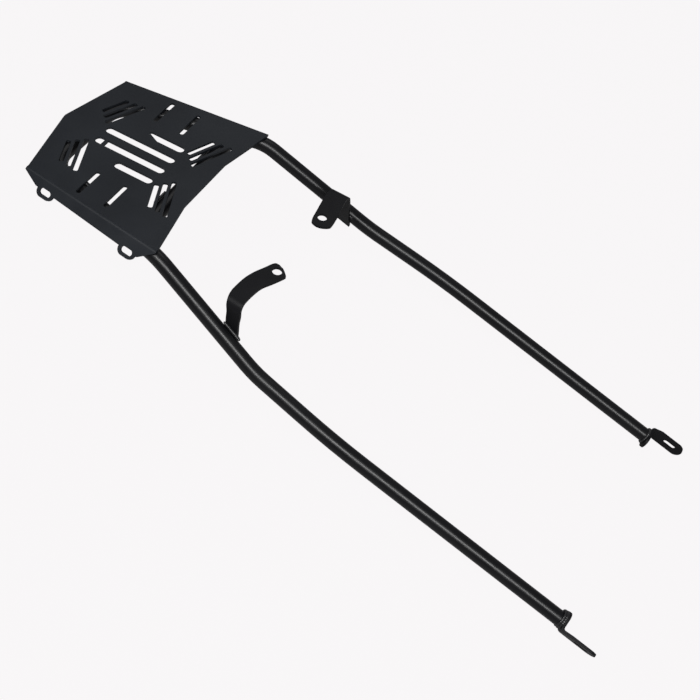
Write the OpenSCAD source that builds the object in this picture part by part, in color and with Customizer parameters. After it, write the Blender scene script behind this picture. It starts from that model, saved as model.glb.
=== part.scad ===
// Motorcycle luggage rack: a slotted, folded sheet deck welded on two bent tubes,
// with one bolt bracket on the inside of each tube and a slotted lug at each front end.
// Units are millimetres. X is the rider's right, Y is forward, Z is up.
// The origin lies on the deck's top face, midway along the two long slots.

/* [Deck plate] */
// Sheet thickness of the deck
deck_t = 3; // [2:0.5:5]
// Half width of the deck at its rear corners
deck_rear_half = 100.8; // [80:0.2:130]
// Distance from the origin back to the rear corners
deck_rear_y = 82; // [75:1:110]
// How far the middle of the rear edge stands behind the corners
deck_rear_point = 20; // [5:1:40]
// Half width of the deck at the front, where the side folds end
deck_front_half = 125.8; // [105:0.2:150]
// Distance from the origin forward to the middle of the front edge
deck_front_y = 99.5; // [85:0.5:130]
// Half width of the straight middle part of the front edge
deck_nose_half = 45; // [20:1:80]
// How far the front corners stand ahead of the middle part
deck_front_sweep = 13.5; // [0:0.5:30]
// Corner radius of the deck outline
deck_corner_r = 5; // [1:0.5:12]

/* [Side flanges] */
// Angle of the folded side flanges below the deck
flange_angle = 50; // [30:1:80]
// Inside radius of the fold
fold_r = 2; // [1:0.5:5]
// Flange width at the rear end, from the fold line
flange_rear_w = 13; // [9:0.2:20]
// Flange width at the front end, from the fold line
flange_front_w = 18.4; // [12:0.2:26]
// Length of the sloping cut at the flange's rear end
flange_rear_cut = 22; // [5:1:40]
// Length of the sloping cut at the flange's front end
flange_front_cut = 19; // [5:1:40]

/* [Tie-down eyes] */
// Distance of the rear eye from the rear end of the fold
eye_rear_s = 37.2; // [28:0.2:70]
// Distance of the front eye from the front end of the fold
eye_front_s = 33; // [32:0.5:70]
// Length of the eye's opening
eye_len = 16; // [10:0.5:24]
// Width of the eye's opening
eye_w = 7.4; // [4:0.2:10]
// Width of the ring of sheet round the opening
eye_ring = 4; // [3:0.2:7]
// How far the opening's middle stands outside the flange's edge
eye_out = 0.7; // [0:0.1:3]

/* [Long slots] */
// Width of the long slots
slot_w = 11; // [6:0.5:14]
// Length of the two middle slots
slot_len = 97; // [60:1:120]
// Distance of the middle slots from the centre line
slot_inner_x = 11.2; // [8:0.2:14]
// Distance of the outer slots from the centre line
slot_outer_x = 34.4; // [26:0.2:44]
// Length of the outer slots
slot_outer_len = 52; // [25:1:80]
// How far the outer slots end behind the front ends of the middle ones
slot_outer_back = 1.5; // [0:0.5:20]
// How far the slanted rear end of the left outer slot leans
slot_slant = 17; // [0:1:25]
// Width of the web across the right middle slot
slot_web = 4; // [2:0.5:8]
// Distance from the slot's rear end to that web
slot_web_at = 10.5; // [6:0.5:20]

/* [Cross slots] */
// Width of the cross slots and of the slanted slits
slit_w = 6; // [4:0.5:8]
// Length of the cross slots
cross_slot_len = 43.5; // [20:0.5:50]
// Distance of a cross slot's middle from the centre line
cross_slot_x = 79.8; // [70:0.2:90]
// Distance of the rear cross slots behind the origin
cross_slot_rear = 10.8; // [2:0.2:24]
// Distance of the front cross slots ahead of the origin
cross_slot_front = 27.2; // [15:0.2:40]

/* [Slanted slits] */
// Angle of the slits to the cross direction
slit_angle = 21.5; // [10:0.5:35]
// Spacing of the slits, square to their length
slit_pitch = 9.7; // [8:0.1:14]
// Inner end of the shortest front slit, from the centre line
slit_front_x = 33.6; // [28:0.2:40]
// Inner end of the shortest front slit, ahead of the origin
slit_front_y = 53.4; // [52:0.2:60]
// Length of the shortest front slit
slit_front_len = 40.5; // [20:0.5:50]
// Inner end of the shortest rear slit, from the centre line
slit_rear_x = 34.4; // [28:0.2:45]
// Inner end of the shortest rear slit, behind the origin
slit_rear_y = 70.6; // [66:0.2:76]
// Length of the shortest rear slit
slit_rear_len = 38; // [20:0.5:50]
// How much longer each next slit is
slit_step = 10; // [2:0.5:14]
// How far each next slit starts further in
slit_shift = 4.5; // [0:0.5:8]
// Number of slits in each group
slit_count = 3; // [1:1:3]
// Corner radius of the slit ends
slit_end_r = 2; // [0.5:0.5:2.5]

/* [Side tubes] */
// Outside diameter of the tubes
tube_d = 19; // [16:0.5:22]
// Wall thickness of the tubes
tube_wall = 1.5; // [1:0.1:3]
// Gap left between curved pieces and what they seat on
seat_gap = 0.2; // [0.05:0.05:0.5]
// Distance of the rear run of the tubes behind the origin
hoop_rear_y = 70.5; // [64:0.5:80]
// Half width of the tubes at the rear corner of the hoop
hoop_rear_half = 70; // [60:0.5:80]
// Centre line radius of the rear corner bends
hoop_corner_r = 40; // [30:1:60]
// Half width of the tubes where they leave the deck
front_bend_x = 121.8; // [112:0.2:128]
// Distance from the origin forward to that bend
front_bend_y = 112.5; // [100:0.5:125]
// Centre line radius of that bend
front_bend_r = 60; // [40:5:120]
// Half width of the tubes at the lower bend
lower_bend_x = 145.6; // [130:0.2:165]
// Distance from the origin forward to the lower bend
lower_bend_y = 263.6; // [240:0.2:300]
// Depth of the lower bend below the deck's top face
lower_bend_z = 90.4; // [60:0.2:110]
// Centre line radius of the lower bend
lower_bend_r = 150; // [60:10:300]
// Half width of the tubes at the long sweep
sweep_x = 155.2; // [145:0.2:170]
// Distance from the origin forward to the long sweep
sweep_y = 378; // [340:2:420]
// Depth of the long sweep below the deck's top face
sweep_z = 124.7; // [110:0.2:140]
// Centre line radius of the long sweep
sweep_r = 1200; // [400:50:1400]
// Half width of the tubes at the front ends
end_x = 157; // [140:0.5:180]
// Distance from the origin forward to the front ends
end_y = 700; // [600:2:800]
// Depth of the front ends below the deck's top face
end_z = 221.2; // [150:0.2:280]

/* [Front cross tube] */
// Distance from the origin forward to the cross tube
cross_y = 74.5; // [68:0.5:85]

/* [Bolt brackets] */
// Plate thickness of the bolt brackets
strap_t = 3.5; // [2.5:0.5:5]
// Width of the brackets
strap_w = 24; // [20:0.5:30]
// Depth of the bracket's top face below the deck's top face
strap_z = 17.6; // [5:0.2:30]
// Distance of the bolt holes from the centre line
strap_hole_x = 55; // [40:1:70]
// Distance from the origin forward to the bolt holes
strap_hole_y = 232.2; // [220:0.2:245]
// Diameter of the bolt holes
strap_hole_d = 12; // [8.5:0.5:13]
// Sheet left between a bolt hole and the bracket's tip
strap_tip = 5.5; // [4:0.5:10]
// Corner radius of the bracket's tip
strap_tip_r = 6; // [2:0.5:9]
// Distance from the centre line to the knee in the bracket's outline
strap_knee_x = 87.6; // [80:0.2:96]
// Radius of the knee, along the middle of the bracket
strap_knee_r = 70; // [40:1:90]
// Outside radius of the bracket's fold
strap_bend_r = 12; // [6:1:16]
// Middle of the right bracket's leg, from the origin forward
leg_y_right = 217.2; // [208:0.2:226]
// Lean of the right bracket's leg from upright
leg_lean_right = 1; // [0:1:25]
// Lean of the left bracket's leg from upright
leg_lean_left = 20; // [0:1:25]
// How far the legs reach below the tube's centre line
leg_below = 9; // [6:0.5:10]

/* [Front lugs] */
// Plate thickness of the front lugs
lug_t = 3.5; // [3:0.5:6]
// Width of the slotted tab
lug_w = 20; // [17:0.5:26]
// Height of the lug's end plate
lug_cap_h = 20; // [19:0.5:24]
// Reach of the end plate inward past the tube's centre
lug_cap_reach = 17; // [14:0.5:24]
// Distance of the tab's outer face from the tube's centre line
lug_side = 15; // [13:0.5:20]
// Reach of the tab forward of the tube's end
lug_reach = 54; // [48:1:70]
// Inside radius of the lug's fold
lug_fold_r = 2.5; // [1:0.5:4]
// Lean of the lug about the tube's centre line
lug_lean = 13; // [0:1:25]
// Rise of the tab's middle above the tube's centre line
lug_rise = 3.4; // [0:0.2:6]
// Width of the lug's slot
lug_slot_w = 8.4; // [6:0.2:11]
// Length of the lug's slot
lug_slot_len = 20; // [14:0.5:26]
// Sheet left between the slot and the tab's tip
lug_slot_tip = 10; // [4:0.5:12]

/* [Welds] */
// Height of the weld beads
weld_leg = 2.4; // [1.6:0.2:3]
// Length of the stitch welds under the deck
stitch_len = 22; // [10:1:40]

/* [Hidden] */
$fn = 48;
tube_r = tube_d / 2;
bore_r = tube_r - tube_wall;
tube_z = -(deck_t + seat_gap + tube_r);
butt_gap = 2.4;
// Lengths of sheet and their bends share this much, so that they join into one solid.
lap = 0.02;
// Overlap of a strap's straight lengths with its wide plan bend.
knee_lap = 1;
// Height and half width of the fine rings where a tube's bends begin and end.
joint_rise = 0.03;
joint_half = 0.1;

// Corners of the right half of the flat deck, and the line of the side fold.
rear_corner = [deck_rear_half, -deck_rear_y];
front_corner = [deck_front_half, deck_front_y + deck_front_sweep];
fold_len = norm(front_corner - rear_corner);
fold_turn = atan2(front_corner[0] - rear_corner[0], front_corner[1] - rear_corner[1]);
// Set back from the sharp fold line to where the bend starts, on the outside face.
fold_back = (fold_r + deck_t) * tan(flange_angle / 2);

// Bend points of the right tube's centre line.
p_start = [butt_gap / 2, -hoop_rear_y, tube_z];
p_corner = [hoop_rear_half, -hoop_rear_y, tube_z];
p_front = [front_bend_x, front_bend_y, tube_z];
p_lower = [lower_bend_x, lower_bend_y, -lower_bend_z];
p_sweep = [sweep_x, sweep_y, -sweep_z];
p_end = [end_x, end_y, -end_z];

function unit(v) = v / norm(v);
function turn_between(a, b) = acos(a * b);
function tangent_len(a, b, r) = r * tan(turn_between(a, b) / 2);
// Half width of the tube's centre line under the deck, at a distance y.
function run_x(y) = p_corner[0] + (p_front[0] - p_corner[0]) * (y - p_corner[1]) / (p_front[1] - p_corner[1]);
// Point on the tube's centre line between the front bend and the lower bend, at a distance y.
function rise_at(y) = p_front + (p_lower - p_front) * (y - p_front[1]) / (p_lower[1] - p_front[1]);

// Places children so that their Z axis runs along d and their X axis as near x as it can be.
module along(p, d, x = [1, 0, 0]) {
    z_axis = unit(d);
    x_axis = unit(x - z_axis * (x * z_axis));
    y_axis = cross(z_axis, x_axis);
    multmatrix([[x_axis[0], y_axis[0], z_axis[0], p[0]],
                [x_axis[1], y_axis[1], z_axis[1], p[1]],
                [x_axis[2], y_axis[2], z_axis[2], p[2]],
                [0, 0, 0, 1]])
        children();
}

module straight(p, q, r, x = [0, 0, 1]) {
    along(p, q - p, x) cylinder(h = norm(q - p), r = r, $fn = 36);
}

// A straight length of tube between two tangent points, tied at each to the bend beyond
// by a ring that stands joint_rise proud, like the witness mark of a bending die.
module length(p, q, r, x, first = false, last = false) {
    d = unit(q - p);
    straight(p + d * (first ? 0 : joint_half / 2), q - d * (last ? 0 : joint_half / 2), r, x);
    if (!first) straight(p - d * joint_half, p + d * joint_half, r + joint_rise, x);
    if (!last) straight(q - d * joint_half, q + d * joint_half, r + joint_rise, x);
}

// One bend of a round bar: comes in along a, leaves along b, both meet at p.
module elbow(p, a, b, bend_r, r, x) {
    start = p - a * tangent_len(a, b, bend_r);
    side = unit(b - a * (a * b));
    centre = start + side * bend_r;
    axis = unit(cross(a, b));
    multmatrix([[-side[0], a[0], axis[0], centre[0]],
                [-side[1], a[1], axis[1], centre[1]],
                [-side[2], a[2], axis[2], centre[2]],
                [0, 0, 0, 1]])
        rotate_extrude(angle = turn_between(a, b), $fn = 24)
            translate([bend_r, 0]) rotate(atan2(x * axis, -(x * side))) circle(r, $fn = 36);
}

// The direction x, turned with the bar as it bends from a to b.
function carried(x, a, b) =
    let (side = unit(b - a * (a * b)), axis = cross(a, side), turn = turn_between(a, b))
    (x * side) * (side * cos(turn) - a * sin(turn)) + (x * axis) * axis;

// Directions of the five straight lengths of the right tube.
d1 = unit(p_corner - p_start);
d2 = unit(p_front - p_corner);
d3 = unit(p_lower - p_front);
d4 = unit(p_sweep - p_lower);
d5 = unit(p_end - p_sweep);

// The right tube as a round bar of radius r, run past both ends by extra.
module tube_run(r, extra = 0) {
    t1 = tangent_len(d1, d2, hoop_corner_r);
    t2 = tangent_len(d2, d3, front_bend_r);
    t3 = tangent_len(d3, d4, lower_bend_r);
    t4 = tangent_len(d4, d5, sweep_r);
    x1 = [0, 0, 1];
    x2 = carried(x1, d1, d2);
    x3 = carried(x2, d2, d3);
    x4 = carried(x3, d3, d4);
    x5 = carried(x4, d4, d5);
    union() {
        length(p_start - d1 * extra, p_corner - d1 * t1, r, x1, first = true);
        elbow(p_corner, d1, d2, hoop_corner_r, r, x1);
        length(p_corner + d2 * t1, p_front - d2 * t2, r, x2);
        elbow(p_front, d2, d3, front_bend_r, r, x2);
        length(p_front + d3 * t2, p_lower - d3 * t3, r, x3);
        elbow(p_lower, d3, d4, lower_bend_r, r, x3);
        length(p_lower + d4 * t3, p_sweep - d4 * t4, r, x4);
        elbow(p_sweep, d4, d5, sweep_r, r, x4);
        length(p_sweep + d5 * t4, p_end + d5 * extra, r, x5, last = true);
    }
}

module side_tube() {
    difference() {
        tube_run(tube_r);
        tube_run(bore_r, 1);
    }
}

module right_side_tube() {
    color([0.09, 0.09, 0.1]) side_tube();
}

module left_side_tube() {
    color([0.09, 0.09, 0.1]) mirror([1, 0, 0]) side_tube();
}

// The cross tube is coped at both ends to fit the side tubes.
module front_cross_tube() {
    reach = run_x(cross_y);
    color([0.11, 0.11, 0.12]) difference() {
        translate([-reach, cross_y, tube_z]) rotate([0, 90, 0])
            cylinder(h = 2 * reach, r = tube_r);
        translate([-reach - 1, cross_y, tube_z]) rotate([0, 90, 0])
            cylinder(h = 2 * reach + 2, r = bore_r);
        cope(tube_r + seat_gap);
        mirror([1, 0, 0]) cope(tube_r + seat_gap);
    }
}

// The straight part of the side tube under the deck, as a plain bar.
module cope(r) {
    d = unit(p_front - p_corner);
    straight(p_corner, p_front + d * 5, r);
}

function corner_turn(p, a, b) = turn_between(unit(a - p), unit(b - p));

// The waste outside a rounded corner at p, between the edges towards a and b.
module corner_waste(p, a, b, r) {
    half = corner_turn(p, a, b) / 2;
    in_a = unit(a - p);
    in_b = unit(b - p);
    centre = p + unit(in_a + in_b) * r / sin(half);
    difference() {
        polygon([p + in_a * r / tan(half), p - unit(in_a + in_b), p + in_b * r / tan(half)]);
        translate(centre) circle(r);
    }
}

// A slot with round ends, centred, along X.
module slot_shape(length, width) {
    run = length - width;
    square([run, width], center = true);
    translate([run / 2, 0]) circle(width / 2);
    translate([-run / 2, 0]) circle(width / 2);
}

// A slit that starts at the origin and runs along X, with small round corners.
module slit_shape(length) {
    r = min(slit_end_r, slit_w / 2 - 0.1);
    translate([r, -slit_w / 2]) square([length - 2 * r, slit_w]);
    translate([0, -slit_w / 2 + r]) square([length, slit_w - 2 * r]);
    for (x = [r, length - r], y = [r - slit_w / 2, slit_w / 2 - r])
        translate([x, y]) circle(r, $fn = 24);
}

module slit_group(x, y, length) {
    for (i = [0:slit_count - 1])
        translate([x, y]) rotate(slit_angle)
            translate([-slit_shift * i, slit_pitch * i])
                slit_shape(length + slit_step * i);
}

// Right side of the deck from above, just inside the place where its bend begins.
fold_normal = [cos(fold_turn), -sin(fold_turn)];
rear_inner = rear_corner - (fold_back + 1) * fold_normal;
front_inner = front_corner - (fold_back + 1) * fold_normal;
nose = [deck_nose_half, deck_front_y];
rear_point = [0, -deck_rear_y - deck_rear_point];

// Right half of the deck from above, with its side left open for the flange.
module half_outline() {
    out = 60 * fold_normal;
    difference() {
        polygon([rear_point, rear_inner, rear_inner + out, front_inner + out, front_inner, nose,
                 [0, deck_front_y]]);
        corner_waste(rear_point, rear_inner, [-rear_inner[0], rear_inner[1]], 3 * deck_corner_r);
    }
}

// Slots of the right half. The rear end of its outer slot can be slanted.
module half_slots(slanted) {
    front_end = slot_len / 2 - slot_outer_back;
    translate([slot_inner_x, 0]) rotate(90) slot_shape(slot_len, slot_w);
    translate([slot_outer_x, front_end - slot_outer_len / 2]) rotate(90) difference() {
        slot_shape(slot_outer_len, slot_w);
        if (slanted) slant_cut();
    }
    for (y = [-cross_slot_rear, cross_slot_front])
        translate([cross_slot_x, y]) slot_shape(cross_slot_len, slit_w);
    slit_group(slit_front_x, slit_front_y, slit_front_len);
    slit_group(slit_rear_x, -slit_rear_y, slit_rear_len);
}

// Sheet that stays at the rear end of a slanted outer slot, on its inner side.
module slant_cut() {
    x = -slot_outer_len / 2;
    polygon([[x - 1, 2 - slot_w / 2], [x - 1, slot_w / 2 + 1],
             [x + slot_slant, slot_w / 2 + 1], [x + slot_slant, slot_w / 2]]);
}

// Puts children in the frame of the right fold: X outward, Y along the fold, Z up.
module at_fold() {
    translate(concat(rear_corner, [0])) rotate([0, 0, -fold_turn]) children();
}

function flange_w_at(s) = flange_rear_w + (flange_front_w - flange_rear_w)
    * (s - flange_rear_cut) / (fold_len - flange_front_cut - flange_rear_cut);

module eye_at(s, length, width) {
    translate([flange_w_at(s) + eye_out, s]) rotate(90) slot_shape(length, width);
}

// The flange seen square to its sheet: X away from the sharp fold line, Y along it.
module flange_outline() {
    front_s = fold_len - eye_front_s;
    start = fold_back + 0.8;
    rear_slope = (flange_rear_w - start) / flange_rear_cut;
    front_slope = (flange_front_w - start) / flange_front_cut;
    over = 5;
    far = 200;
    difference() {
        union() {
            polygon([[-far, -far], [start - over * rear_slope, -far],
                     [start - over * rear_slope, -over],
                     [flange_rear_w, flange_rear_cut],
                     [flange_front_w, fold_len - flange_front_cut],
                     [start - over * front_slope, fold_len + over],
                     [start - over * front_slope, fold_len + far], [-far, fold_len + far]]);
            for (s = [eye_rear_s, front_s]) eye_at(s, eye_len + 2 * eye_ring, eye_w + 2 * eye_ring);
        }
        for (s = [eye_rear_s, front_s]) eye_at(s, eye_len, eye_w);
    }
}

// Section of the folded sheet: the flat deck, the bend and the flange.
module fold_section() {
    outer = fold_r + deck_t;
    flat = 2 * deck_front_half;
    translate([-fold_back - flat, -deck_t]) square([flat + lap, deck_t]);
    translate([-fold_back, -outer]) intersection() {
        difference() {
            circle(outer);
            circle(fold_r);
        }
        polygon([[0, 0], [0, 2 * outer], [2 * outer * tan(flange_angle / 2), 2 * outer],
                 [2 * outer * sin(flange_angle), 2 * outer * cos(flange_angle)]]);
    }
    rotate(-flange_angle) translate([fold_back - lap, -deck_t]) square([2 * flange_front_w, deck_t]);
}

// The sheet folded along the right side, before it is trimmed at the centre line.
module folded_sheet() {
    over = 60;
    at_fold() intersection() {
        translate([0, fold_len + over, 0]) rotate([90, 0, 0])
            linear_extrude(fold_len + 2 * over) fold_section();
        rotate([0, flange_angle, 0]) translate([0, 0, -200]) linear_extrude(400) flange_outline();
    }
}

module half_deck(slanted) {
    intersection() {
        difference() {
            folded_sheet();
            translate([0, 0, -deck_t - 1]) linear_extrude(deck_t + 2) half_slots(slanted);
        }
        translate([0, 0, -60]) linear_extrude(80) half_outline();
    }
}

// One folded sheet. The web is where the right middle slot was left uncut.
module deck_plate() {
    web_y = -slot_len / 2 + slot_web_at;
    color([0.13, 0.14, 0.15]) union() {
        half_deck(false);
        mirror([1, 0, 0]) half_deck(true);
        translate([slot_inner_x - slot_w / 2 - 1, web_y, -deck_t]) cube([slot_w + 2, slot_web, deck_t]);
    }
}

// Outline of a straight bracket from above, out of its tip corners and a long strip.
module strap_strip(back) {
    tip = strap_hole_d / 2 + strap_tip;
    r = min(strap_tip_r, strap_w / 2 - 0.5);
    translate([-back, -strap_w / 2]) square([back + tip - r, strap_w]);
    translate([0, -strap_w / 2 + r]) square([tip, strap_w - 2 * r]);
    for (y = [r - strap_w / 2, strap_w / 2 - r]) translate([tip - r, y]) circle(r);
}

// Outline of the right bracket from above: straight from the leg, a knee, then on to the hole.
module kneed_plan(leg_y) {
    hole = [strap_hole_x, strap_hole_y];
    knee = [strap_knee_x, leg_y];
    d = unit(hole - knee);
    turn = turn_between([-1, 0], d);
    t = strap_knee_r * tan(turn / 2);
    translate([strap_knee_x + t - knee_lap, leg_y - strap_w / 2]) square([80, strap_w]);
    translate([strap_knee_x + t, leg_y + strap_knee_r]) intersection() {
        difference() {
            circle(strap_knee_r + strap_w / 2, $fn = 96);
            circle(strap_knee_r - strap_w / 2, $fn = 96);
        }
        polygon([[0, 0], [0, -2 * strap_knee_r], [-2 * strap_knee_r * tan(turn), -2 * strap_knee_r]]);
    }
    translate(hole) rotate(atan2(d[1], d[0])) strap_strip(norm(hole - knee) - t + knee_lap);
}

module straight_plan() {
    translate([strap_hole_x, strap_hole_y]) rotate(180) strap_strip(120);
}

// Direction of the tube where the brackets stand.
rise = unit(p_lower - p_front);
rise_level = norm([rise[0], rise[1]]);
// Heading of a bracket's fold, turned so that a leaning leg still lies along the falling tube.
function fold_heading(lean) = atan2(rise[0], rise[1]) - asin(tan(lean) * -rise[2] / rise_level);

// A right-hand bolt bracket whose leg stands at leg_y and leans out by lean, cut to the
// outline given as its child.
module bolt_bracket(leg_y, lean) {
    foot = rise_at(leg_y);
    top = -strap_z - foot[2];
    seat = tube_r + seat_gap;
    fold_x = (-seat - top * sin(lean)) / cos(lean);
    back = strap_bend_r * tan((90 - lean) / 2);
    leg_top = top * cos(lean) - fold_x * sin(lean) - back;
    difference() {
        intersection() {
            translate(foot) rotate([90, 0, -fold_heading(lean)])
                linear_extrude(80, center = true) {
                    translate([fold_x - back - 120, top - strap_t]) square([120 + lap, strap_t]);
                    translate([fold_x - back, top - strap_bend_r]) intersection() {
                        difference() {
                            circle(strap_bend_r);
                            circle(strap_bend_r - strap_t);
                        }
                        polygon([[0, 0], [0, 3 * strap_bend_r], [3 * strap_bend_r, 3 * strap_bend_r],
                                 [3 * strap_bend_r * cos(lean), 3 * strap_bend_r * sin(lean)]]);
                    }
                    rotate(lean) translate([-seat - strap_t, -60]) square([strap_t, 60 + leg_top + lap]);
                }
            translate([0, 0, -200]) linear_extrude(200) children();
            along(foot, rise) translate([-150, -150, -150]) cube([300, 150 + leg_below, 300]);
        }
        translate([strap_hole_x, strap_hole_y, -strap_z - strap_t - 1])
            cylinder(h = strap_t + 2, d = strap_hole_d);
    }
}

module right_bolt_bracket() {
    color([0.12, 0.12, 0.13]) bolt_bracket(leg_y_right, leg_lean_right) kneed_plan(leg_y_right);
}

module left_bolt_bracket() {
    color([0.12, 0.12, 0.13]) mirror([1, 0, 0])
        bolt_bracket(strap_hole_y, leg_lean_left) straight_plan();
}

// Frame of the right tube's front end: X outward, Y down, Z forward along the tube.
module at_tube_end() {
    along(p_end, p_end - p_sweep) rotate([0, 0, lug_lean]) children();
}

// The end plate of a lug, seen along the tube.
module lug_cap_shape() {
    r = lug_cap_h / 2;
    bend_x = lug_side - lug_t - lug_fold_r;
    low = lug_w / 2 - lug_rise;
    translate([-lug_cap_reach + r, 0]) circle(r);
    polygon([[-lug_cap_reach + r, -r], [bend_x + lap, -r], [bend_x + lap, low], [0, r],
             [-lug_cap_reach + r, r]]);
}

// The slotted tab of a lug, seen from the side: X along the tube, Y up.
module lug_tab_shape() {
    start = lug_t + lug_fold_r - lap;
    r = lug_w / 2;
    low = lug_rise - r;
    difference() {
        union() {
            polygon([[start, low], [start, lug_cap_h / 2], [start + 8, lug_rise + r],
                     [lug_reach - r, lug_rise + r], [lug_reach - r, low]]);
            translate([lug_reach - r, lug_rise]) circle(r);
        }
        translate([lug_reach - lug_slot_tip - lug_slot_len / 2, lug_rise])
            slot_shape(lug_slot_len, lug_slot_w);
    }
}

module front_lug() {
    bend_x = lug_side - lug_t - lug_fold_r;
    outer = lug_t + lug_fold_r;
    low = lug_w / 2 - lug_rise;
    at_tube_end() {
        linear_extrude(lug_t) lug_cap_shape();
        translate([bend_x, low, outer]) rotate([90, 0, 0]) linear_extrude(low + lug_cap_h / 2)
            intersection() {
                difference() {
                    circle(outer);
                    circle(lug_fold_r);
                }
                translate([0, -outer]) square(outer);
            }
        translate([lug_side - lug_t, 0, 0]) rotate([180, -90, 0]) linear_extrude(lug_t)
            lug_tab_shape();
    }
}

module right_front_lug() {
    color([0.12, 0.12, 0.13]) front_lug();
}

module left_front_lug() {
    color([0.12, 0.12, 0.13]) mirror([1, 0, 0]) front_lug();
}

// A short round bead, centred at p and running along d.
module bead(p, d, length, r) {
    straight(p - d * length / 2, p + d * length / 2, r, abs(d[2]) < 0.9 ? [0, 0, 1] : [1, 0, 0]);
}

// How far to the side a bead of radius r lies in the wedge between a tube and a flat face.
function wedge_out(r) = sqrt(pow(tube_r + r + seat_gap, 2) - pow(tube_r - r, 2));

// A bead in the wedge between a tube, whose centre line passes p along d, and a face above n.
module wedge_bead(p, d, n, side, length, r) {
    bead(p + n * (tube_r - r) + side * wedge_out(r), d, length, r);
}

// Closes the gap between the two side tubes at the middle of the rear run. Its crown is
// ground off where the deck lies over it.
module rear_butt_weld() {
    half = butt_gap / 2;
    color([0.11, 0.11, 0.12]) difference() {
        translate([0, -hoop_rear_y, tube_z]) rotate([0, 90, 0]) rotate_extrude() {
            translate([bore_r, -half]) square([tube_wall, butt_gap]);
            translate([tube_r - 0.01, 0]) intersection() {
                translate([-0.5, 0]) circle(norm([half, 0.5]));
                translate([0, -half]) square([half, butt_gap]);
            }
        }
        translate([-butt_gap, -hoop_rear_y - tube_r, tube_z + tube_r + 0.05])
            cube([2 * butt_gap, 2 * tube_r, 5]);
    }
}

// One saddle-shaped bead where the cross tube meets the right side tube, below the deck.
module cross_tube_weld() {
    reach = run_x(cross_y);
    r_in = tube_r + seat_gap;
    r_out = tube_r + seat_gap + weld_leg;
    difference() {
        intersection() {
            translate([reach - 30, cross_y, tube_z]) rotate([0, 90, 0]) cylinder(h = 30, r = r_out);
            cope(r_out);
            translate([0, 0, tube_z - 20]) cube([reach, 200, 20 + tube_r - weld_leg]);
        }
        translate([reach - 31, cross_y, tube_z]) rotate([0, 90, 0]) cylinder(h = 32, r = r_in);
        cope(r_in);
    }
}

module cross_tube_welds() {
    color([0.11, 0.11, 0.12]) {
        cross_tube_weld();
        mirror([1, 0, 0]) cross_tube_weld();
    }
}

// Beads under the deck on the right half, all in the wedge between tube and sheet.
module half_stitches() {
    r = weld_leg * 0.7;
    d = unit(p_front - p_corner);
    inward = [-d[1], d[0], 0];
    for (y = [-18, 46])
        wedge_bead([run_x(y), y, tube_z], d, [0, 0, 1], inward, stitch_len, r);
    wedge_bead([36, -hoop_rear_y, tube_z], [1, 0, 0], [0, 0, 1], [0, -1, 0], stitch_len, r);
    wedge_bead([46, cross_y, tube_z], [1, 0, 0], [0, 0, 1], [0, -1, 0], stitch_len, r);
}

module deck_stitch_welds() {
    color([0.11, 0.11, 0.12]) {
        half_stitches();
        mirror([1, 0, 0]) half_stitches();
    }
}

// Two beads that hold a bracket's leg: one above and one below the line where it meets the tube.
module bracket_weld(leg_y, lean) {
    r = weld_leg * 0.65;
    heading = fold_heading(lean);
    out = [cos(heading), -sin(heading), 0];
    n = -cos(lean) * out - [0, 0, sin(lean)];
    up = unit(cross(n, rise));
    for (side = [up, -up])
        wedge_bead(rise_at(leg_y), rise, n, side, strap_w - 6, r);
}

module right_bracket_welds() {
    color([0.13, 0.13, 0.14]) bracket_weld(leg_y_right, leg_lean_right);
}

module left_bracket_welds() {
    color([0.13, 0.13, 0.14]) mirror([1, 0, 0]) bracket_weld(strap_hole_y, leg_lean_left);
}

// A ring bead round the tube's end, behind the end plate of the lug.
module lug_weld() {
    at_tube_end() translate([0, 0, -0.01]) rotate_extrude() intersection() {
        translate([tube_r, 0]) circle(weld_leg);
        translate([tube_r + seat_gap, -weld_leg]) square([weld_leg, weld_leg]);
    }
}

module right_lug_weld() {
    color([0.13, 0.13, 0.14]) lug_weld();
}

module left_lug_weld() {
    color([0.13, 0.13, 0.14]) mirror([1, 0, 0]) lug_weld();
}

deck_plate();
right_side_tube();
left_side_tube();
front_cross_tube();
right_bolt_bracket();
left_bolt_bracket();
right_front_lug();
left_front_lug();
rear_butt_weld();
cross_tube_welds();
deck_stitch_welds();
right_bracket_welds();
left_bracket_welds();
right_lug_weld();
left_lug_weld();
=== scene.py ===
import math

import bmesh
import bpy
from mathutils import Matrix, Vector


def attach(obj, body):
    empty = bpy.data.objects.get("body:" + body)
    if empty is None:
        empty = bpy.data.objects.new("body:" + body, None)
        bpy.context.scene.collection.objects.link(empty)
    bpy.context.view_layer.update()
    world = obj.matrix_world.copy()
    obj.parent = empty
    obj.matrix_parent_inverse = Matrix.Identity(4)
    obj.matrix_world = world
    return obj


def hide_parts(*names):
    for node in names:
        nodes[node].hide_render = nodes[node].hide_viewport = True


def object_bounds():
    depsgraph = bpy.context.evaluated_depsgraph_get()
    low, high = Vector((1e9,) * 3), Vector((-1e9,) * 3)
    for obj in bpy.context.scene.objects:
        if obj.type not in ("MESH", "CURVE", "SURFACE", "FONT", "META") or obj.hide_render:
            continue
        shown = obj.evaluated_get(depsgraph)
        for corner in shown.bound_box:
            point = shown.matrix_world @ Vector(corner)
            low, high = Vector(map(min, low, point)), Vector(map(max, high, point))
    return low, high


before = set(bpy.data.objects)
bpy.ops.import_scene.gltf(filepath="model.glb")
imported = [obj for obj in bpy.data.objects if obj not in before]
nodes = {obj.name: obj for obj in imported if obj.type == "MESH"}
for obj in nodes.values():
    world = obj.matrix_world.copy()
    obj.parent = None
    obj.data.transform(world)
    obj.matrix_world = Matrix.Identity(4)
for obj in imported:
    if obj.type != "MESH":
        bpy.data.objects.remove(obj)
cad_box = [list(c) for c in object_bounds()]

scene = bpy.context.scene
scene.view_settings.view_transform = "Standard"


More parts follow.
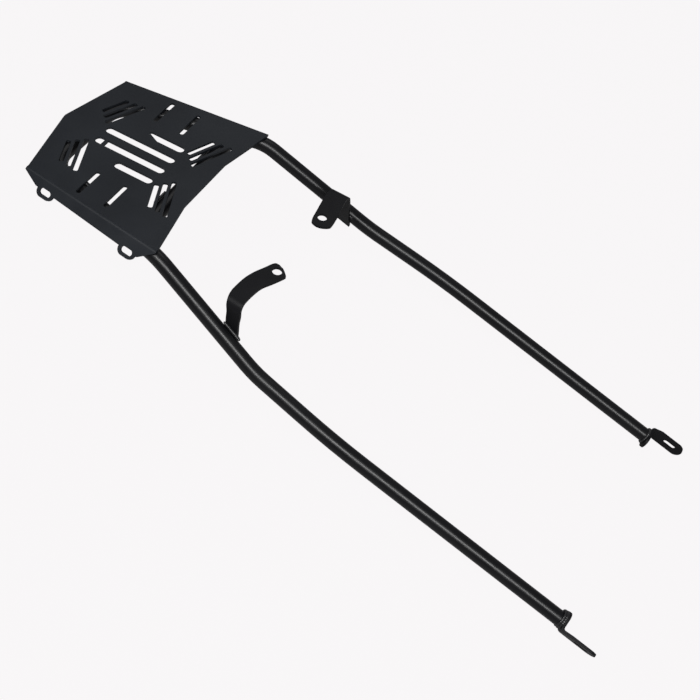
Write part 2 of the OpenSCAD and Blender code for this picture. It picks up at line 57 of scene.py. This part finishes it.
def frame_matrix(x, y, z, place):
    """The matrix whose axes are x, y and z and whose origin is place."""
    return Matrix(((x[0], y[0], z[0], place[0]),
                   (x[1], y[1], z[1], place[1]),
                   (x[2], y[2], z[2], place[2]),
                   (0, 0, 0, 1)))


# The camera in metres, solved from the deck's parallel slots and the two mirrored tubes.
CAM_PLACE = (0.93674, 0.60253, 0.98922)
CAM_RIGHT = (-0.4580, 0.8741, 0.1622)
CAM_UP = (-0.6334, -0.4489, 0.6305)
cam_data = bpy.data.cameras.new("camera")
cam = bpy.data.objects.new("camera", cam_data)
scene.collection.objects.link(cam)
right = Vector(CAM_RIGHT).normalized()
up = Vector(CAM_UP)
up = (up - right * up.dot(right)).normalized()
back = right.cross(up)
cam.matrix_world = frame_matrix(right, up, back, CAM_PLACE)
cam_data.sensor_width = 36.0
cam_data.lens = 61.87
cam_data.shift_x = 0.0006
cam_data.shift_y = -0.0009
cam_data.clip_start = 0.05
cam_data.clip_end = 20
scene.camera = cam


class Tree:
    """Small helper that makes and links the shader nodes of a material or a world."""

    def __init__(self, block, output):
        block.use_nodes = True
        self.nt = block.node_tree
        self.nt.nodes.clear()
        self.out = self.node(output)

    def node(self, kind, **values):
        n = self.nt.nodes.new(kind)
        for k, v in values.items():
            setattr(n, k, v)
        return n

    def link(self, a, b):
        self.nt.links.new(a, b)

    def put(self, value, socket):
        """Links an output to a socket, or sets a number or a colour there."""
        if hasattr(value, "is_linked"):
            self.link(value, socket)
        else:
            socket.default_value = (*value, 1) if isinstance(value, tuple) else value

    def ramp(self, fac, start, end):
        """Black up to start, white from end on."""
        n = self.node("ShaderNodeValToRGB")
        for stop, pos, grey in zip(n.color_ramp.elements, (start, end), (0.0, 1.0)):
            stop.position = pos
            stop.color = (grey, grey, grey, 1)
        self.link(fac, n.inputs["Fac"])
        return n.outputs["Color"]

    def noise(self, coord, scale, detail, rough):
        n = self.node("ShaderNodeTexNoise")
        n.inputs["Scale"].default_value = scale
        n.inputs["Detail"].default_value = detail
        n.inputs["Roughness"].default_value = rough
        self.link(coord, n.inputs["Vector"])
        return n.outputs["Fac"]

    def mix(self, fac, a, b):
        n = self.node("ShaderNodeMix", data_type="RGBA")
        self.link(fac, n.inputs["Factor"])
        self.put(a, n.inputs["A"])
        self.put(b, n.inputs["B"])
        return n.outputs["Result"]

    def calc(self, operation, a, b):
        n = self.node("ShaderNodeMath", operation=operation)
        self.put(a, n.inputs[0])
        self.put(b, n.inputs[1])
        return n.outputs[0]

    def plain(self, kind, colour, strength=None):
        """A shader of one colour, and of one strength if it gives light."""
        n = self.node(kind)
        self.put(colour, n.inputs["Color"])
        if strength is not None:
            n.inputs["Strength"].default_value = strength
        return n.outputs[0]

    def show(self, fac, a, b):
        """Sends a mix of two shaders to the output."""
        n = self.node("ShaderNodeMixShader")
        for value, socket in zip((fac, a, b), n.inputs):
            self.link(value, socket)
        self.link(n.outputs[0], self.out.inputs["Surface"])


# Scales of the coat's patterns, per metre, and the depth of its orange peel.
CLOUD_SCALE, PATCH_SCALE, SPECK_SCALE = 9.0, 38.0, 900.0
PEEL_DEPTH = 0.00012


def powder_coat(name, base, light, dust, rough, gloss=0.25, bump=0.25, grain=2600.0):
    """Satin powder coat: fine orange peel, cloudy tone and faint dust specks in random patches."""
    mat = bpy.data.materials.new(name)
    t = Tree(mat, "ShaderNodeOutputMaterial")
    obj = t.node("ShaderNodeTexCoord").outputs["Object"]
    cloud = t.noise(obj, CLOUD_SCALE, 3.0, 0.55)
    patch = t.noise(obj, PATCH_SCALE, 4.0, 0.6)
    speck = t.noise(obj, SPECK_SCALE, 2.0, 0.7)
    peel = t.noise(obj, grain, 2.0, 0.5)
    tone = t.mix(t.ramp(cloud, 0.35, 0.7), base, light)
    dusty = t.ramp(patch, 0.48, 0.78)
    specks = t.ramp(speck, 0.70, 0.80)
    colour = t.mix(t.calc("MULTIPLY", dusty, specks), tone, dust)
    bsdf = t.node("ShaderNodeBsdfPrincipled")
    t.link(colour, bsdf.inputs["Base Color"])
    spread = t.node("ShaderNodeMapRange")
    for side, value in (("From Min", 0.3), ("From Max", 0.7), ("To Min", rough[0]),
                        ("To Max", rough[1])):
        spread.inputs[side].default_value = value
    t.link(patch, spread.inputs["Value"])
    t.link(spread.outputs["Result"], bsdf.inputs["Roughness"])
    bsdf.inputs["Specular IOR Level"].default_value = gloss
    fine = t.node("ShaderNodeBump")
    fine.inputs["Strength"].default_value = bump
    fine.inputs["Distance"].default_value = PEEL_DEPTH
    t.link(peel, fine.inputs["Height"])
    t.link(fine.outputs["Normal"], bsdf.inputs["Normal"])
    t.link(bsdf.outputs["BSDF"], t.out.inputs["Surface"])
    return mat


deck_mat = powder_coat(
    "deck_powder_coat", base=(0.0040, 0.0052, 0.0074), light=(0.0082, 0.0098, 0.0126),
    dust=(0.045, 0.050, 0.055), rough=(0.42, 0.52), gloss=0.24)
tube_mat = powder_coat(
    "tube_powder_coat", base=(0.0018, 0.0018, 0.0024), light=(0.0034, 0.0034, 0.0040),
    dust=(0.030, 0.030, 0.032), rough=(0.28, 0.36), gloss=0.28, bump=0.07)
bracket_mat = powder_coat(
    "bracket_powder_coat", base=(0.0034, 0.0034, 0.0042), light=(0.0058, 0.0058, 0.0066),
    dust=(0.030, 0.030, 0.032), rough=(0.40, 0.50), gloss=0.11)
weld_mat = powder_coat(
    "weld_powder_coat", base=(0.0060, 0.0060, 0.0068), light=(0.0110, 0.0110, 0.0118),
    dust=(0.050, 0.050, 0.050), rough=(0.24, 0.36), gloss=0.4, bump=0.5, grain=900.0)


MM = 0.001


def round_edges(obj, width, angle, weight):
    """Rounds the edges that turn by more than angle, and shades the flat faces flat.

    The width is in millimetres and the angle in degrees; weight favours the large faces."""
    soft = obj.modifiers.new("edge", "BEVEL")
    soft.width = width * MM
    soft.segments = 2
    soft.limit_method = "ANGLE"
    soft.angle_limit = math.radians(angle)
    shade = obj.modifiers.new("normals", "WEIGHTED_NORMAL")
    shade.weight = weight
    shade.keep_sharp = True


for name, node in nodes.items():
    mat = weld_mat
    if name == "deck_plate":
        mat = deck_mat
    elif name.endswith("tube"):
        mat = tube_mat
    elif name.endswith("bracket") or name.endswith("lug"):
        mat = bracket_mat
    node.data.materials.clear()
    node.data.materials.append(mat)

# The deck's faces come apart at its sharp edges, so they are joined before the edges are rounded.
join = nodes["deck_plate"].modifiers.new("join", "WELD")
join.merge_threshold = 0.01 * MM
round_edges(nodes["deck_plate"], width=0.4, angle=60, weight=100)

# Sizes of the brackets in millimetres, as in the CAD: thickness, depth of the top face below
# the deck's top, outside radius of the fold, and the bolt hole.
STRAP_T, STRAP_Z, BEND_R, HOLE_R = 3.5, 17.6, 12.0, 6.0
HOLE = (55.0, 232.2)
# The tube's radius, the gap of a seated piece, and how far the legs reach below the centre line.
TUBE_R, SEAT_GAP, LEG_BELOW = 9.5, 0.2, 9.0
# The slanted lower edge of a leg runs along the tube. Square to the tube, it falls by EDGE_FALL
# for each millimetre along the fold, and by EDGE_SIDE for each one between leg and centre line.
# EDGE_UPRIGHT turns that into an upright depth.
EDGE_FALL, EDGE_SIDE, EDGE_UPRIGHT = 0.452, 0.07, 0.889
# The right tube's bend points at both ends of its falling run.
RUN_TOP = Vector((121.8, 112.5, -12.7))
RUN_LOW = Vector((145.6, 263.6, -90.4))
RISE = (RUN_LOW - RUN_TOP).normalized()


def smooth_line(points, steps=6):
    """Points of a smooth open curve through the given points."""
    pts = [Vector(p) for p in points]
    pts = [2 * pts[0] - pts[1]] + pts + [2 * pts[-1] - pts[-2]]
    out = []
    for i in range(1, len(pts) - 2):
        p0, p1, p2, p3 = pts[i - 1:i + 3]
        for k in range(steps):
            t = k / steps
            out.append(0.5 * (2 * p1 + (p2 - p0) * t + (2 * p0 - 5 * p1 + 4 * p2 - p3) * t * t
                              + (3 * p1 - p0 - 3 * p2 + p3) * t ** 3))
    return out + [pts[-2]]


def ring(centre, r, n=48):
    """Points round a circle."""
    return [Vector((centre[0] + r * math.cos(2 * math.pi * i / n),
                    centre[1] + r * math.sin(2 * math.pi * i / n))) for i in range(n)]


def slot_ring(x0, x1, y, r, n=16):
    """Outline of a slot with round ends, from x0 to x1."""
    ends = ((x0 + r, math.pi / 2), (x1 - r, -math.pi / 2))
    return [Vector((x + r * math.cos(first + math.pi * i / n),
                    y + r * math.sin(first + math.pi * i / n)))
            for x, first in ends for i in range(n + 1)]


def bent_sheet(name, loops, cuts, place, outward, thick, mat, hides):
    """Fills a flat pattern, cuts it across at each bend, folds it up and gives it thickness."""
    bm = bmesh.new()
    for loop in loops:
        vs = [bm.verts.new((q[0], q[1], 0)) for q in loop]
        for i, v in enumerate(vs):
            bm.edges.new((v, vs[(i + 1) % len(vs)]))
    bmesh.ops.triangle_fill(bm, use_beauty=True, use_dissolve=False, edges=bm.edges[:])
    for u in cuts:
        bmesh.ops.bisect_plane(bm, geom=bm.verts[:] + bm.edges[:] + bm.faces[:], dist=1e-5,
                               plane_co=(u, 0, 0), plane_no=(1, 0, 0))
    for v in bm.verts:
        v.co = place(v.co.x, v.co.y) * MM
    bmesh.ops.recalc_face_normals(bm, faces=bm.faces[:])
    me = bpy.data.meshes.new(name)
    bm.to_mesh(me)
    bm.free()
    o = bpy.data.objects.new(name, me)
    scene.collection.objects.link(o)
    widest = max(me.polygons, key=lambda f: f.area)
    solid = o.modifiers.new("thickness", "SOLIDIFY")
    solid.thickness = thick * MM
    solid.offset = -1 if widest.normal.dot(outward) > 0 else 1
    solid.use_even_offset = True
    round_edges(o, width=0.45, angle=50, weight=50)
    for f in me.polygons:
        f.use_smooth = True
    me.materials.append(mat)
    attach(o, "root")
    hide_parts(hides)


def leg_frame(leg_y, lean):
    """Where a leg's middle meets the tube's line, and the directions across and along its fold.

    The lean is in radians."""
    foot = RUN_TOP + (RUN_LOW - RUN_TOP) * (leg_y - RUN_TOP.y) / (RUN_LOW.y - RUN_TOP.y)
    level = math.hypot(RISE.x, RISE.y)
    heading = math.atan2(RISE.x, RISE.y) - math.asin(math.tan(lean) * -RISE.z / level)
    return (foot, Vector((math.cos(heading), -math.sin(heading), 0)),
            Vector((math.sin(heading), math.cos(heading), 0)))


def mirrored(q, hand):
    """The point q, or its mirror image on the left when hand is -1."""
    return Vector((q.x * hand, q.y, q.z))


def bolt_bracket(name, hides, hand, leg_y, lean, rear_edge, front_edge, leg_rear, leg_front):
    """A strap with a rounded tip that folds down to a leg beside the falling tube.

    The edges of the strap are given from its tip to the fold, as seen from above. Those of the
    leg are given as depth below the fold and distance along it."""
    lean = math.radians(lean)
    foot, across, along = leg_frame(leg_y, lean)
    top = -STRAP_Z - foot.z
    fold_x = (-(TUBE_R + SEAT_GAP) - top * math.sin(lean)) / math.cos(lean)
    turn = math.pi / 2 - lean
    back = BEND_R * math.tan(turn / 2)
    start = fold_x - back

    def flat(x, y):
        d = Vector((x, y, 0)) - Vector((foot.x, foot.y, 0))
        return Vector((d.dot(across), d.dot(along)))

    def leg_u(depth):
        return start + BEND_R * turn + depth - back

    def place(u, v):
        s = u - start
        if s <= 0:
            px, py = u, top
        else:
            a = min(s / BEND_R, turn)
            px = start + BEND_R * math.sin(a)
            py = top - BEND_R + BEND_R * math.cos(a)
            rest = max(0.0, s - BEND_R * turn)
            px += rest * math.sin(lean)
            py -= rest * math.cos(lean)
        return mirrored(foot + across * px + along * v + Vector((0, 0, py)), hand)

    def end_u(v):
        below = LEG_BELOW + (TUBE_R + SEAT_GAP) * EDGE_SIDE + EDGE_FALL * v
        return leg_u((top + below / EDGE_UPRIGHT) / math.cos(lean))

    def edge(strap, leg):
        points = [flat(*q) for q in strap] + [Vector((leg_u(d), v)) for d, v in leg]
        return smooth_line(points + [Vector((end_u(leg[-1][1]), leg[-1][1]))])

    loop = edge(rear_edge, leg_rear) + edge(front_edge, leg_front)[:0:-1]
    cuts = [start + BEND_R * turn * i / 12 for i in range(13)]
    hole = ring(flat(*HOLE), HOLE_R)
    bent_sheet(name, [loop, hole], cuts, place, Vector((0, 0, 1)), STRAP_T, bracket_mat,
               hides)


RIGHT_LEG = {"leg_y": 217.2, "lean": 1}
LEFT_LEG = {"leg_y": 232.2, "lean": 20}
bolt_bracket("right_strap", "right_bolt_bracket", 1, **RIGHT_LEG,
             rear_edge=[(46.3, 233.0), (44.6, 228.6), (46.4, 223.0), (58.6, 217.2),
                        (72.6, 210.8), (87.1, 206.7), (105.5, 204.8), (114.0, 205.0)],
             front_edge=[(46.3, 233.0), (48.0, 236.6), (54.9, 243.6), (58.7, 244.0),
                         (73.0, 237.6), (86.3, 230.9), (98.9, 228.2), (114.0, 226.9)],
             leg_rear=[(14.0, -10.0), (30.0, -9.1), (46.0, -7.8)],
             leg_front=[(14.0, 9.0), (30.0, 8.6), (46.0, 9.6)])
bolt_bracket("left_strap", "left_bolt_bracket", -1, **LEFT_LEG,
             rear_edge=[(38.6, 232.6), (40.7, 226.1), (45.8, 223.2), (60.0, 221.1),
                        (81.6, 218.0), (98.0, 216.6)],
             front_edge=[(38.6, 232.6), (39.9, 239.0), (44.6, 246.2), (50.2, 248.2),
                         (69.3, 246.5), (77.1, 245.2), (98.0, 242.0)],
             leg_rear=[(14.0, -12.0), (34.0, -10.5), (52.0, -9.5)],
             leg_front=[(14.0, 11.0), (34.0, 10.5), (52.0, 9.5)])

# Sizes of the lugs: thickness, width of the tab, its reach ahead of the tube's end, outside
# radius of the fold, and sheet left between the slot and the tip.
LUG_T, LUG_W, LUG_REACH, LUG_BEND, LUG_TIP = 3.5, 20.0, 52.4, 6.0, 10.7
# The right tube's last bend point, its front end, and the direction between them.
TUBE_SWEEP = Vector((155.2, 378.0, -124.7))
TUBE_END = Vector((157.0, 700.0, -221.2))
AXIS = (TUBE_END - TUBE_SWEEP).normalized()


def end_frame(lean):
    """Outward and upward directions at the tube's front end, turned about it by lean."""
    x = (Vector((1, 0, 0)) - AXIS * AXIS.x).normalized()
    y = AXIS.cross(x)
    c, w = math.cos(math.radians(lean)), math.sin(math.radians(lean))
    return x * c + y * w, x * w - y * c


def front_lug(name, hides, hand, lean, side, rise, reach_in, slot_w, slot_len):
    """An end plate that folds forward into a slotted tab.

    The fold lies at side, outward from the tube's middle. The plate reaches inward by reach_in,
    and the tab's middle lies higher than the tube's by rise. The slot is slot_w by slot_len."""
    out, up = end_frame(lean)
    bend_x = side - LUG_BEND
    arc = LUG_BEND * math.pi / 2
    tab = bend_x + arc
    tip = tab + LUG_REACH - LUG_BEND
    half = LUG_W / 2

    def place(u, v):
        s = u - bend_x
        px, pz = u, 0.0
        if s > 0:
            a = min(s / LUG_BEND, math.pi / 2)
            px = bend_x + LUG_BEND * math.sin(a)
            pz = LUG_BEND - LUG_BEND * math.cos(a) + max(0.0, s - arc)
        return mirrored(TUBE_END + out * px + up * v + AXIS * pz, hand)

    cap = [Vector((half - reach_in + half * math.cos(a), half * math.sin(a)))
           for a in (math.pi * (1.5 - i / 16) for i in range(17))]
    top = [Vector((bend_x, half)), Vector((tab, half + 0.4)), Vector((tab + 3, half + 1.6)),
           Vector((tab + 6, half + 2.8)), Vector((tab + 9, half + rise))]
    nose = [Vector((tip - half + half * math.sin(a), rise + half * math.cos(a)))
            for a in (math.pi * i / 20 for i in range(21))]
    low = [Vector((tab, rise - half)), Vector((bend_x, rise - half)),
           Vector((bend_x - 4, rise - half - 1.2)), Vector((0, -half))]
    slot = slot_ring(tip - LUG_TIP - slot_len, tip - LUG_TIP, rise, slot_w / 2)
    cuts = [bend_x + arc * i / 8 for i in range(9)]
    bent_sheet(name, [cap + top + nose + low, slot], cuts, place, mirrored(out, hand), LUG_T,
               bracket_mat, hides)


front_lug("right_lug_plate", "right_front_lug", 1, lean=25, side=12.3, rise=4.4, reach_in=13.6,
          slot_w=7.6, slot_len=19)
front_lug("left_lug_plate", "left_front_lug", -1, lean=0, side=12.8, rise=3.4, reach_in=17.0,
          slot_w=7.2, slot_len=18.5)

# Faces round a bead, and the length of one ripple in millimetres.
BEAD_SIDES, RIPPLE_LEN = 14, 1.9
# The parts of the radius that the ripple and a slower wander add, and the wander's rate and start.
RIPPLE, WANDER, WANDER_RATE, WANDER_START = 0.06, 0.04, 1.37, 0.6


def weld_bead(name, path, radius, hides, closed=False):
    """A rippled bead along a path; radius gives its thickness from the start to the end."""
    bm = bmesh.new()
    rings = []
    side = None
    n = len(path)
    run = 0.0
    for i, p in enumerate(path):
        before = path[i - 1] if closed or i else path[0]
        after = path[(i + 1) % n] if closed or i < n - 1 else path[-1]
        d = (after - before).normalized()
        if i:
            run += (p - path[i - 1]).length
        side = (d.orthogonal() if side is None else side - d * side.dot(d)).normalized()
        other = d.cross(side)
        t = i / (n - 1)
        r = radius[0] + (radius[1] - radius[0]) * t
        r *= (1 + RIPPLE * math.sin(2 * math.pi * run / RIPPLE_LEN)
              + WANDER * math.sin(run * WANDER_RATE + WANDER_START))
        if not closed:
            r *= math.sqrt(max(0.04, 1 - (2 * t - 1) ** 8))
        around = [2 * math.pi * k / BEAD_SIDES for k in range(BEAD_SIDES)]
        rings.append([bm.verts.new((p + (side * math.cos(a) + other * math.sin(a)) * r) * MM)
                      for a in around])
    pairs = list(zip(rings, rings[1:])) + ([(rings[-1], rings[0])] if closed else [])
    for r0, r1 in pairs:
        for k in range(BEAD_SIDES):
            m = (k + 1) % BEAD_SIDES
            bm.faces.new((r0[k], r0[m], r1[m], r1[k]))
    if not closed:
        bm.faces.new(rings[0][::-1])
        bm.faces.new(rings[-1])
    bmesh.ops.recalc_face_normals(bm, faces=bm.faces[:])
    me = bpy.data.meshes.new(name)
    bm.to_mesh(me)
    bm.free()
    for f in me.polygons:
        f.use_smooth = True
    me.materials.append(weld_mat)
    o = bpy.data.objects.new(name, me)
    scene.collection.objects.link(o)
    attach(o, "root")
    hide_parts(hides)


# How far a bracket's bead sinks into its wedge, and how far a ring bead stands off its tube.
BEAD_SINK, RING_OFF = 0.3, 0.35


def bracket_beads(name, hides, hand, leg_y, lean, spans, radii):
    """The beads above and below the line where a bracket's leg meets its tube."""
    lean = math.radians(lean)
    foot, across, _ = leg_frame(leg_y, lean)
    n = -math.cos(lean) * across - Vector((0, 0, math.sin(lean)))
    up = RISE.cross(n).normalized()
    for label, way, (t0, t1), (r0, r1) in zip(("upper", "lower"), (1, -1), spans, radii):
        r = max(r0, r1)
        off = math.sqrt((TUBE_R + r + SEAT_GAP) ** 2 - (TUBE_R - r) ** 2)
        middle = foot + n * (TUBE_R - r) + up * (way * (off - BEAD_SINK))
        path = [mirrored(middle + RISE * (t0 + (t1 - t0) * i / 80), hand) for i in range(81)]
        weld_bead(name + "_" + label, path, (r0, r1), hides)


bracket_beads("right_bracket_bead", "right_bracket_welds", 1, **RIGHT_LEG,
              spans=((-15.0, 13.5), (-9, 9)), radii=((1.8, 2.3), (1.7, 1.7)))
bracket_beads("left_bracket_bead", "left_bracket_welds", -1, **LEFT_LEG,
              spans=((-10, 10), (-9, 9)), radii=((1.8, 1.8), (1.7, 1.7)))

# Ring beads behind the lugs' end plates: place along the tube and radius of each. Those on the
# right lie off centre, upwards and inwards, where more weld was laid.
out, up = end_frame(0)
OFF_CENTRE = up * 0.7 - out * 0.9
for hand, label, lopsided, rings_at in ((1, "right", 1, ((-1.2, 2.1), (-4.2, 1.7))),
                                        (-1, "left", 0, ((-1.2, 2.0),))):
    for k, (ahead, r) in enumerate(rings_at):
        middle = TUBE_END + AXIS * ahead + OFF_CENTRE * lopsided
        path = [mirrored(middle + out * q.x + up * q.y, hand)
                for q in ring((0, 0), TUBE_R + RING_OFF, 180)]
        weld_bead(label + "_lug_bead_" + str(k), path, (r, r), label + "_lug_weld", closed=True)

# The white paper under the object and behind it.
PAPER = (0.966, 0.949, 0.957)
FAR_PAPER = (0.930, 0.913, 0.921)
# How much of the floor glows. The rest is lit by the lamps and takes the object's shadow.
FLOOR_SHARE = 0.96
# How much of the paper a reflection sees. The coat in the photograph hardly mirrors its
# surroundings.
GLOSSY_SHARE = 0.15
# The floor's half width and its distance under the object, in metres.
FLOOR_HALF, FLOOR_DROP = 9, 0.002


def paper_seen(t):
    """How much of the paper a ray sees: all from the camera or through glass, less by gloss."""
    path = t.node("ShaderNodeLightPath").outputs
    shine = t.calc("MULTIPLY", path["Is Glossy Ray"], GLOSSY_SHARE)
    clear = t.calc("MAXIMUM", shine, path["Is Transmission Ray"])
    return t.calc("MAXIMUM", path["Is Camera Ray"], clear)


floor_z = cad_box[0][2] - FLOOR_DROP
mesh = bpy.data.meshes.new("floor")
corners = ((-1, -1), (1, -1), (1, 1), (-1, 1))
mesh.from_pydata([(x * FLOOR_HALF, y * FLOOR_HALF, floor_z) for x, y in corners], [],
                 [(0, 1, 2, 3)])
floor = bpy.data.objects.new("floor", mesh)
scene.collection.objects.link(floor)
paper = bpy.data.materials.new("floor_paper")
t = Tree(paper, "ShaderNodeOutputMaterial")
t.show(t.calc("MULTIPLY", paper_seen(t), FLOOR_SHARE),
       t.plain("ShaderNodeBsdfDiffuse", (0.25, 0.247, 0.25)),
       t.plain("ShaderNodeEmission", PAPER, 1.0))
floor.data.materials.append(paper)

world = bpy.data.worlds.new("studio")
scene.world = world
t = Tree(world, "ShaderNodeOutputWorld")
t.show(paper_seen(t), t.plain("ShaderNodeBackground", (0.92, 0.96, 1.0), 0.12),
       t.plain("ShaderNodeBackground", FAR_PAPER, 1.0))


def lamp(name, place, target, along, size, power):
    """A soft rectangular lamp whose long side runs near the direction along."""
    data = bpy.data.lights.new(name, "AREA")
    data.shape = "RECTANGLE"
    data.size, data.size_y = size
    data.energy = power
    o = bpy.data.objects.new(name, data)
    z = (Vector(place) - Vector(target)).normalized()
    x = Vector(along)
    x = (x - z * x.dot(z)).normalized()
    y = z.cross(x)
    o.matrix_world = frame_matrix(x, y, z, place)
    scene.collection.objects.link(o)


# A long lamp on the near side draws the highlights on the tubes; a weak one fills the far side.
RACK_MIDDLE = Vector((0, 0.32, -0.1))
lamp("long_strip", RACK_MIDDLE + Vector((1.34, 0.30, 1.80)), RACK_MIDDLE, along=(0, 1, -0.2),
     size=(3.2, 0.5), power=92)
lamp("far_fill", RACK_MIDDLE + Vector((-1.6, -0.5, 2.4)), RACK_MIDDLE, along=(0, 1, 0),
     size=(2.0, 1.6), power=10)
